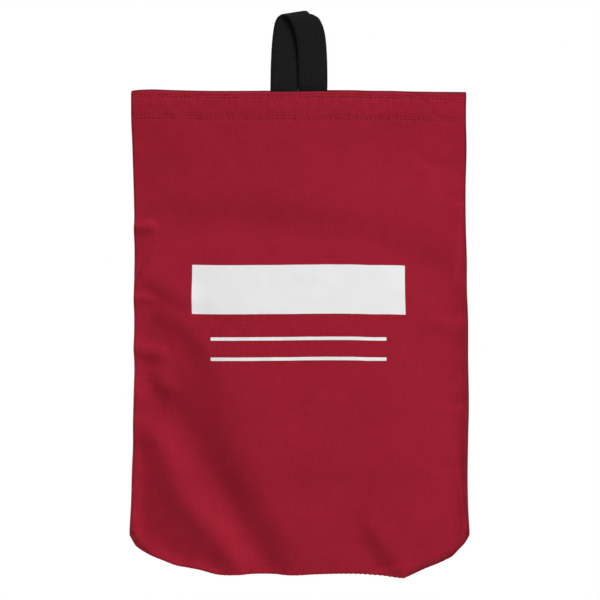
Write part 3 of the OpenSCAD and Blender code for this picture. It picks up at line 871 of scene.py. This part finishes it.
def halves(name, points, flat, material, inset=None):
    """Cuts a closed sheet down its middle column into a left and a right piece of the front."""
    normals, middle, made = ring_normals(points), points.shape[1] // 2, []
    for word, sign in HALVES:
        cut = slice(0, middle + 1) if sign < 0 else slice(middle, None)
        part = points[:, cut]
        made.append(make_piece(f"{name}_{word}", part, ring_faces(*part.shape[:2]), material,
                               flat[:, cut], normals[:, cut], None if inset is None else inset[:, cut]))
        bend_half(made[-1])
    return made


front_points, front_flat, front_inset = sewn_panel(
    front_out, -1, side_count=140, row_count=190, hem_count=40, lip_drop=LIP_STEP)
front_cloth = halves("front_cloth", front_points, front_flat, shell_print, front_inset)
for piece in front_cloth:
    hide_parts("front_panel", "front_hem", "print_field")

# %% [markdown]
# ## Back of the bag
# The back is the same sheet, turned round, with folds of its own. A mirrored copy of the front would be
# quicker, but no bag creases the same on both sides. The webbing lies between the hem and the loop tape, so
# the hem is pressed back in a shallow pocket there.


# %% Back cloth
WEB_T, TAIL_L, LEG_X = 1.6, 21.0, 12.65


def webbing_pocket(x, z):
    """Depth of the pocket that the two webbing ends press into the back hem."""
    across = ease((LEG_X + WEB_W / 2 + 3 - np.abs(x)) / 2.5)
    return (WEB_T + 0.05) * across * ease((z + TAIL_L + 3) / 2)


back_points, back_flat, back_inset = sewn_panel(
    back_out, 1, side_count=72, row_count=180, hem_count=34, lip_drop=0.0, pocket=webbing_pocket)
back_cloth = turned_sheet("back_cloth", back_points, shell_plain, back_flat, back_inset)
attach(back_cloth, "bag")
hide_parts("back_panel", "back_hem")

# %% [markdown]
# ## The folded base
# The base is a long panel that folds up into the bag when it is empty. From below it is a valley between the
# front and the back. Its section is a rounded roof, w wide and r high: z = r (1 - |q|), with the ridge
# rounded by sqrt(q^2 + e^2). A simulation could push a grid into place, but a formula meets both seams.

# %% Base cloth and base lining
TIP_X, FOLD_H, FLAP_W = 140.0, 24.0, 12.8
FLAP_LOSS = 10.0  # how much narrower a flap of the base is at its tips
RIDGE = 0.12  # how round the ridge is, as a share of a flap
FACE_APART = 100.0  # the flat map has the face below at minus this, and the coated face inside at plus this
FLEECE_T, FLEECE_LIFT = 1.4, 1.9


def folded_base(lift, thick, seed):
    """A closed roof-shaped sheet between the base seams. Rows go front to back below, then back above."""
    x = np.linspace(-TIP_X, TIP_X, 141)[None, :]
    q = np.linspace(-1, 1, 41)[:, None]
    sink = ROLL_R * 1.58 + 0.1  # from the face of a panel to just past the end of its roll
    wide = [np.maximum(f(x, foot_line(x)) - sink, 0.4) for f in (front_out, back_out)]
    roof = 1 - (np.sqrt(q**2 + RIDGE**2) - RIDGE) / (np.sqrt(1 + RIDGE**2) - RIDGE)
    cut = (FLAP_W - FLAP_LOSS * (x / HALF_W) ** 2) * np.hypot(1, FOLD_H / FLAP_W)
    rise = np.sqrt(np.maximum(cut**2 - ((wide[0] + wide[1]) / 2) ** 2, 1.0))
    out = np.where(q < 0, -q * wide[0], -q * wide[1])
    crumple = 0.7 * soft_waves(x, out * 1.5, seed, (14, 40)) * (1 - q**2)
    z = foot_line(x) + 0.5 + lift + rise * roof + crumple
    px, pout, pz = there_and_back((x, out, z), (x, out, z + thick * np.hypot(1, FOLD_H / FLAP_W)))
    way = q * FLAP_W * 1.75
    way = np.concatenate([way - FACE_APART, way[::-1] + FACE_APART])
    return in_frame(px, pout, pz, -1), np.stack(np.broadcast_arrays(px, way), -1) * MM


def base_piece(name, lift, thick, material, node, seed):
    """Makes one layer of the folded base, which rides on the bag."""
    points, flat = folded_base(lift, thick, seed)
    piece = turned_sheet(name, points, material, flat)
    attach(piece, "bag")
    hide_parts(node)


base_piece("base_cloth", 0.0, CLOTH_T, base_red, "base_panel", 5)
base_piece("base_fleece", FLEECE_LIFT, FLEECE_T, fleece, "base_lining", 5)

# %% [markdown]
# ## Lining
# A soft fleece keeps a visor from being scratched. It starts under the hem and ends just above the base. An
# offset copy of the shell would be simpler, but fleece is thick and hangs a little free, so it follows the
# shell's folds at six tenths of their height.


# %% Lining
LINING_HALF, FOLD_SHARE = 133.0, 0.6
LINING_FOOT, LINING_TOP, LINING_GAP = 9.0, 1.2, 0.25  # gaps to the base, to the hem and to the shell


def lining_sheet(face, side, columns, rows):
    """A closed fleece sheet inside a panel: up its outer face, and down the face that shows inside."""
    nominal = np.linspace(-LINING_HALF, LINING_HALF, columns)
    base = foot_line(nominal) + LINING_FOOT
    z = base + (-HEM_H - LINING_TOP - base) * np.linspace(0, 1, rows)[:, None]
    x = spread(nominal, z)
    plain, shell = body_out(x, z), face(x, z)
    outer = np.minimum(shell, plain + FOLD_SHARE * (shell - plain)) - CLOTH_T - LINING_GAP
    rim = np.minimum(np.arange(rows), np.arange(rows)[::-1])[:, None]
    thick = np.where(rim == 0, 0.5, np.where(rim == 1, 1.1, FLEECE_T))
    px, pout, pz = there_and_back((x, np.maximum(outer, 0.8), z), (x, np.maximum(outer - thick, 0.3), z))
    flat = np.stack([np.broadcast_to(nominal, px.shape), pz], -1) * MM
    return in_frame(px, pout, pz, side), flat


lining_points, lining_flat = lining_sheet(front_out, -1, columns=97, rows=150)
for piece in halves("front_fleece", lining_points, lining_flat, fleece):
    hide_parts("front_lining")
lining_points, lining_flat = lining_sheet(back_out, 1, columns=97, rows=150)
back_fleece = turned_sheet("back_fleece", lining_points, fleece, lining_flat)
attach(back_fleece, "bag")
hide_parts("back_lining")

# %% [markdown]
# ## Thread
# A sewing machine leaves short straight stitches that dive into the cloth at each end. Each one is a thin
# bent tube of a few faces. Bevelled curves would do for a few, but here are hundreds, so all the tubes of a
# row are made in one go: a path of points for each, and a ring of points round each path point.


# %% Tubes
def skins(count, rings, sides):
    """Faces of many skins, each through its own rings of points, with an n-sided face at both ends."""
    base = np.arange(count)[:, None, None] * rings * sides
    k, s = np.arange(rings - 1)[None, :, None] * sides, np.arange(sides)[None, None, :]
    nxt = (s + 1) % sides
    walls = np.stack([base + k + s, base + k + nxt, base + k + sides + nxt, base + k + sides + s], -1)
    first = base[:, 0] + np.arange(sides)
    return [walls.reshape(-1, 4), first[:, ::-1], first + (rings - 1) * sides]


def tubes(paths, radius, sides, reference):
    """Points and faces of tubes along many paths (n, m, 3), in metres: rings square to each path."""
    run = unit(np.gradient(paths, axis=1))
    across = unit(np.cross(run, np.asarray(reference, float)))
    over = np.cross(across, run)
    turn = np.arange(sides)[:, None] * 2 * np.pi / sides
    ring = np.cos(turn) * across[:, :, None] + np.sin(turn) * over[:, :, None]
    return paths[:, :, None] + ring * radius, skins(*paths.shape[:2], sides)


def sewn_thread(name, paths, radius_mm):
    """A piece of red thread: a six-sided tube along every path."""
    points, faces = tubes(paths, radius_mm * MM, 6, (0, 1, 0))
    return make_piece(name, points, faces, red_thread)


print("a tube of 7 rings and 6 sides has", sum(len(f) for f in skins(1, 7, 6)), "faces")

# %% Stitch rows
STITCH_COUNT, STITCH_L, THREAD_R = 37, 3.1, 0.34
STITCH_HIGH, STITCH_DIVE = 0.22, 0.62  # the middle of a stitch above the cloth, and the fall to its ends


def stitch_paths(face, side, lip_drop, sign):
    """Both rows of stitches on the left or right half: 7 points each, the ends under the cloth."""
    middle = sign * (STITCH_START + (np.arange(STITCH_COUNT) + 0.5) * STITCH_PITCH)
    s = np.linspace(-1, 1, 7)
    x = middle[:, None] + s * STITCH_L / 2
    rise = STITCH_HIGH - STITCH_DIVE * np.abs(s) ** 5
    made = []
    for row in (EDGE_ROW, HEM_ROW):
        z = lip_line(x) - lip_drop - row + 0.12 * np.sin(x * 0.9)
        made.append(in_frame(x, face(x, z) + rise, z, side))
    return np.concatenate(made)


for word, sign in HALVES:
    rows = stitch_paths(front_out, -1, LIP_STEP, sign)
    stitches = sewn_thread(f"front_stitches_{word}", rows, THREAD_R)
    bend_half(stitches)
    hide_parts("front_edge_stitches", "front_hem_stitches")
rows = np.concatenate([stitch_paths(back_out, 1, 0.0, sign) for sign in (-1, 1)])
back_stitches = sewn_thread("back_stitches", rows, THREAD_R)
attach(back_stitches, "bag")
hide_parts("back_edge_stitches", "back_hem_stitches")

# %% [markdown]
# ## Bar tacks
# A bar tack is a dense zigzag over a short bar. It holds each webbing end twice. Single stitches side by
# side would look alike, but on the real one a thread runs to and fro, so one long path makes each tack.

# %% Bar tacks
TACK_L, TACK_H, TACK_IN, TACK_TURNS, TACK_R = 20.0, 2.2, 2.5, 38, 0.3


def tack_path(x, z):
    """Zigzag along a bar: steady steps across, and up and down, closest to the cloth at its turns."""
    step = np.linspace(0, 1, 4 * TACK_TURNS + 1)
    swing = 2 * np.abs(2 * ((step * TACK_TURNS) % 1) - 1) - 1
    px = x + (step - 0.5) * TACK_L
    pz = z + swing * TACK_H / 2
    return in_frame(px, back_out(px, pz) + 0.25 - 0.3 * np.abs(swing) ** 3, pz, 1)


tacks = np.stack([tack_path(s * LEG_X, z) for s in (-1, 1) for z in (-4.0 - TACK_IN, TACK_IN - TAIL_L)])
bar_tacks = sewn_thread("bar_tacks", tacks, TACK_R)
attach(bar_tacks, "bag")
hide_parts("loop_bar_tacks")

# %% [markdown]
# ## Hook tape and loop tape
# The mouth closes with two tapes. The front one carries rows of small stiff hooks, the back one a pile of
# tangled loops. A texture could suggest them, but with the mouth open they are seen from close by, so
# each hook and each loop is a small tube of 26 faces.

# %% Closure tapes
STRIP_HALF, STRIP_LOW, STRIP_HIGH = 129.4, -21.5, -3.5
TAPE_BACK, TAPE_FACE, TIP_OUT = 1.56, 1.0, 0.25
HOOK_PITCH, HOOK_R = 1.9, 0.12
LOOP_PITCH, LOOP_R, LOOP_REACH, LOOP_FOOT = 1.35, 0.09, 0.75, 1.05


def tape_sheet(first, last, side, columns):
    """The base tape as a closed sheet: up its back, and down its face, with thinner edges."""
    x = np.linspace(first, last, columns)[None, :]
    share = np.linspace(0, 1, 9)[:, None]
    z = STRIP_LOW + (STRIP_HIGH - STRIP_LOW) * share + 0.12 * np.sin(x / 9)
    face = TAPE_FACE + 0.3 * np.abs(2 * share - 1) ** 12
    px, pout, pz = there_and_back((x, TAPE_BACK, z), (x, face, z))
    return in_frame(px, pout, pz, side), np.stack([px, pz], -1) * MM


def scattered(first, last, pitch, seed):
    """Places on a tape: a grid with seeded shifts, inside its edges. Gives x, z and an angle for each."""
    draw = np.random.default_rng(seed)
    xs = np.arange(first + pitch, last - pitch / 2, pitch)
    zs = np.arange(STRIP_LOW + 1.8, STRIP_HIGH - 1.4, pitch)
    x, z = (a.ravel() for a in np.meshgrid(xs, zs))
    shift = draw.uniform(-0.25, 0.25, (3, len(x))) * pitch
    return x + shift[0], z + shift[1], draw.uniform(0, 2 * np.pi, len(x))


def hook_paths(x, z):
    """Hooks: straight up from the tape, then a half turn back. Out falls towards the middle plane."""
    rise = np.array([1.1, 0.8, 0.5, 0.3, TIP_OUT, 0.3, 0.45])
    lean = np.array([0.0, 0.0, 0.02, 0.1, 0.3, 0.48, 0.52])
    way = np.where(np.round(z / HOOK_PITCH) % 2 == 0, 1.0, -1.0)[:, None]
    return in_frame(x[:, None], rise, z[:, None] + way * lean, -1)


def loop_paths(x, z, angle):
    """Loops of pile: half circles that stand on the tape in every direction."""
    turn = np.linspace(0, np.pi, 7)
    reach = LOOP_REACH * np.cos(turn)
    px = x[:, None] + reach * np.cos(angle)[:, None]
    pz = z[:, None] + reach * np.sin(angle)[:, None]
    return in_frame(px, LOOP_FOOT - (LOOP_FOOT - TIP_OUT) * np.sin(turn), pz, 1)


def closure(name, first, last, side, paths, radius, material, columns):
    """One tape with its hooks or loops as a single piece."""
    sheet, flat = tape_sheet(first, last, side, columns)
    points, faces = tubes(paths, radius * MM, 4, (1, 0.2, 0.1))
    sheet_faces = ring_faces(*sheet.shape[:2], flip=side > 0)
    count = sheet.shape[0] * sheet.shape[1]
    joined = np.concatenate([sheet.reshape(-1, 3), points.reshape(-1, 3)])
    flat = np.concatenate([flat.reshape(-1, 2), points.reshape(-1, 3)[:, [0, 2]]])
    return make_piece(name, joined, sheet_faces + [f + count for f in faces], material, flat)


for word, sign in HALVES:
    first, last = sorted((0.0, sign * STRIP_HALF))
    x, z, _ = scattered(first, last, HOOK_PITCH, 21)
    hooks = hook_paths(x, z)
    strip = closure(f"hook_tape_{word}", first, last, -1, hooks, HOOK_R, hook_yarn, 61)
    bend_half(strip)
    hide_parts("hook_strip")
loops = loop_paths(*scattered(-STRIP_HALF, STRIP_HALF, LOOP_PITCH, 22))
loop_tape = closure("loop_tape", -STRIP_HALF, STRIP_HALF, 1, loops, LOOP_R, pile, 121)
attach(loop_tape, "bag")
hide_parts("loop_strip")

# %% [markdown]
# ## Bound side seams
# Inside, a narrow ribbed tape is folded round the raw edges of each side seam. Its section is a flat
# rounded strip, carried down the seam. A curve with a bevel could do that too, but here the section also
# swells a little at each rib.


# %% Strip section
def flat_section(width, thick, count):
    """Rounded strip section: a superellipse with powers 8 and 2.4. Gives places across and through it."""
    turn = np.arange(count) * 2 * np.pi / count
    c, s = np.cos(turn), np.sin(turn)
    return np.sign(c) * np.abs(c) ** (2 / 8) * width / 2, np.sign(s) * np.abs(s) ** (2 / 2.4) * thick / 2


print("webbing section in mm:", [round(float(np.ptp(a)), 2) for a in flat_section(WEB_W, WEB_T, 44)])

# %% Seam bindings
BOUND_X, BOUND_W, BOUND_T, BOUND_OUT = 139.8, 11.6, 1.4, 0.72

for word, sign in HALVES:
    z = np.linspace(float(foot_line(np.array(sign * 148.0))) + 6.0, -1.5, 150)[:, None]
    across, through_it = flat_section(BOUND_W, BOUND_T, 28)
    edge = np.abs(side_edges(z)[0 if sign < 0 else 1]) - HALF_W
    x = sign * (BOUND_X + edge) + across + 0.25 * np.sin(z / 13)
    out = BOUND_OUT + through_it * (1 + 0.08 * np.sin(z / 2.1)) + 0 * x
    rings = in_frame(x, np.maximum(out, 0.03), z + 0 * x, 1)
    flat = np.stack([across + 0 * z, z + 0 * x], -1) * MM
    faces = skins(1, *rings.shape[:2])
    bound = make_piece(f"{word}_bound_seam", rings, faces, tape, flat)
    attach(bound, "bag")
    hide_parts(f"{word}_seam_binding")

# %% [markdown]
# ## The webbing loop
# One strap makes the loop and both sewn ends. It goes up behind, bends over with a soft crease, and comes
# down in front and to the right, so the two ends lie side by side in the mouth. Two smooth curves through a
# few points are its edges, and the flat section is spread between them. That holds the outline exactly,
# while one middle line would leave the slanted top to chance.

# %% Webbing strap
STRAP_EDGES = np.array([  # left and right edge, x y z each, from the end of the front leg to the back one's
    (0.1, 0.0, -89.2, 25.1, 0.0, -89.2), (0.1, 0.0, -78.0, 25.1, 0.0, -78.0),
    (0.1, -0.2, -69.0, 25.8, 0.0, -69.0), (-0.2, -0.9, -63.5, 26.0, -0.2, -62.0),
    (-0.3, -1.2, -50.0, 25.9, -0.5, -48.0), (-0.9, -1.6, -36.0, 25.4, -0.9, -34.0),
    (-2.0, -2.1, -23.0, 24.4, -1.5, -22.0), (-4.2, -2.5, -14.0, 22.8, -2.0, -13.5),
    (-6.2, -2.6, -8.4, 20.6, -2.3, -7.6), (-8.2, -2.5, -4.6, 17.8, -2.3, -3.2),
    (-10.4, -1.9, -2.4, 13.6, -1.9, -0.6), (-13.0, -0.7, -1.4, 10.1, -0.8, 0.6),
    (-15.6, 0.7, -0.5, 7.6, 0.8, 3.0), (-18.0, 1.6, -1.6, 5.9, 1.8, 1.8),
    (-20.0, 1.9, -4.2, 4.8, 2.2, -2.2), (-21.7, 2.0, -9.0, 3.8, 2.3, -9.0),
    (-23.1, 1.7, -18.0, 2.4, 2.0, -18.0), (-24.2, 1.3, -30.0, 1.2, 1.6, -30.0),
    (-24.9, 0.8, -45.0, 0.6, 1.1, -45.0), (-25.2, 0.3, -60.0, 0.4, 0.9, -62.0),
    (-25.3, 0.0, -69.0, -0.1, 0.2, -69.0), (-25.1, 0.0, -78.0, -0.1, 0.0, -78.0),
    (-25.1, 0.0, -89.2, -0.1, 0.0, -89.2)])


def strap_rings(count, section):
    """Rings of the strap: the flat section, spread between the edge lines and along their normal."""
    knots = np.arange(len(STRAP_EDGES))
    fine = np.linspace(0, len(knots) - 1, 1200)
    lines = np.stack([through(fine, knots, STRAP_EDGES[:, i]) for i in range(6)], 1)
    middle = (lines[:, :3] + lines[:, 3:]) / 2
    run = np.concatenate([[0], np.cumsum(np.linalg.norm(np.diff(middle, axis=0), axis=1))])
    at = np.linspace(0, run[-1], count)
    lines = np.stack([np.interp(at, run, lines[:, i]) for i in range(6)], 1)
    middle, wide = (lines[:, :3] + lines[:, 3:]) / 2, lines[:, 3:] - lines[:, :3]
    face = unit(np.cross(unit(np.gradient(middle, axis=0)), unit(wide)))
    across, through_it = section
    rings = (middle[:, None] + across[:, None] / WEB_W * wide[:, None]
             + through_it[:, None] * face[:, None])
    flat = np.stack(np.broadcast_arrays(across[None, :], at[:, None]), -1) * MM
    return rings * MM, flat, run[-1]


rings, flat, strap_length = strap_rings(220, flat_section(WEB_W, WEB_T, 44))
webbing_strap = make_piece("webbing_strap", rings, skins(1, *rings.shape[:2]), webbing, flat)
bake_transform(webbing_strap)
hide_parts("hang_loop", "loop_tails")
print("webbing strap is", round(strap_length), "mm long")

# %% [markdown]
# ## Floor, light and background
# The bag hangs free, so the floor is well below it and only other views show it. A broad lamp at the upper
# right rakes over the cloth and brings out the folds. A weak one low in front fills the shade, one behind
# lights the back, and a grey world does the rest. The background is white for the camera alone, so it adds
# no light to the cloth. The floor fades into it, because a hard edge would draw the eye.

# %% Floor
FLOOR_Z, FLOOR_R, FLOOR_RINGS, FLOOR_SIDES = -0.95, 1.3, 24, 64
FADE_NEAR, FADE_FAR = 0.80, 1.6  # ways from the hanging point between which the floor fades to white
WHITE = (1, 1, 1, 1)


def seen_directly(tree):
    """1 for rays from the camera, also by way of a mirror or glass, and 0 for rays that light a surface."""
    seen = add(tree, "ShaderNodeLightPath").outputs
    straight = calc(tree, "MAXIMUM", seen["Is Camera Ray"], seen["Is Glossy Ray"])
    return calc(tree, "MAXIMUM", straight, seen["Is Transmission Ray"])


floor_material, tree, shader = new_material("pale_floor", specular=0.2)
place = add(tree, "ShaderNodeTexCoord").outputs["Object"]
speckle = mixed(tree, noise(tree, place, 90.0, 2.0), (0.86, 0.86, 0.86, 1), (0.90, 0.90, 0.90, 1))
tree.links.new(speckle, shader["Base Color"])
shader["Roughness"].default_value = 0.9
away = add(tree, "ShaderNodeVectorMath", {"operation": "LENGTH"}, {0: place}).outputs["Value"]
share = calc(tree, "MULTIPLY", ramp(tree, away, FADE_NEAR, FADE_FAR), seen_directly(tree))
white = add(tree, "ShaderNodeEmission", None, {"Color": WHITE, "Strength": 1.0}).outputs[0]
output = next(n for n in tree.nodes if n.type == "OUTPUT_MATERIAL")
principled = next(n for n in tree.nodes if n.type == "BSDF_PRINCIPLED").outputs[0]
blended = add(tree, "ShaderNodeMixShader", None, {0: share, 1: principled, 2: white}).outputs[0]
tree.links.new(blended, output.inputs["Surface"])

radius = np.linspace(0.02, FLOOR_R, FLOOR_RINGS)[:, None]
angle = np.arange(FLOOR_SIDES) * 2 * np.pi / FLOOR_SIDES
points = np.stack(np.broadcast_arrays(radius * np.cos(angle), radius * np.sin(angle), FLOOR_Z), -1)
floor_faces = [f[:, ::-1] for f in skins(1, FLOOR_RINGS, FLOOR_SIDES)[:2]]
floor = build_mesh("floor", points, floor_faces, floor_material)

# %% Lamps and world
BAG_MIDDLE = np.array([0.0, MIDDLE_Y * MM, -0.27])
AMBIENT = 0.10


def soft_lamp(name, place, size, level):
    """A square lamp aimed at the bag. A level of 1 renders a surface that faces it as its own colour."""
    data = bpy.data.lights.new(name, "AREA")
    data.shape, data.size = "SQUARE", size
    away = np.array(place) - BAG_MIDDLE
    data.energy = math.pi**2 * level * float(away @ away)
    lamp = bpy.data.objects.new(name, data)
    lamp.location = place
    facing = -away / np.linalg.norm(away)
    pitch = math.acos(-facing[2])
    lamp.rotation_euler = (pitch, 0, math.atan2(facing[1], facing[0]) - math.pi / 2)
    bpy.context.scene.collection.objects.link(lamp)


soft_lamp("key_lamp", (1.25, -1.72, 2.4), 1.1, 1.16)
soft_lamp("fill_lamp", (0.9, -2.2, -0.4), 1.2, 0.11)
soft_lamp("back_lamp", (-2.2, 1.6, 1.2), 1.1, 1.0)

world = bpy.data.worlds.new("studio")
bpy.context.scene.world = world
world.use_nodes = True
tree = world.node_tree
tree.nodes.clear()
ambient = add(tree, "ShaderNodeBackground", None, {"Color": WHITE, "Strength": AMBIENT}).outputs[0]
backdrop = add(tree, "ShaderNodeBackground", None, {"Color": WHITE, "Strength": 1.0}).outputs[0]
both = add(tree, "ShaderNodeMixShader", None, {0: seen_directly(tree), 1: ambient, 2: backdrop}).outputs[0]
add(tree, "ShaderNodeOutputWorld", None, {"Surface": both})
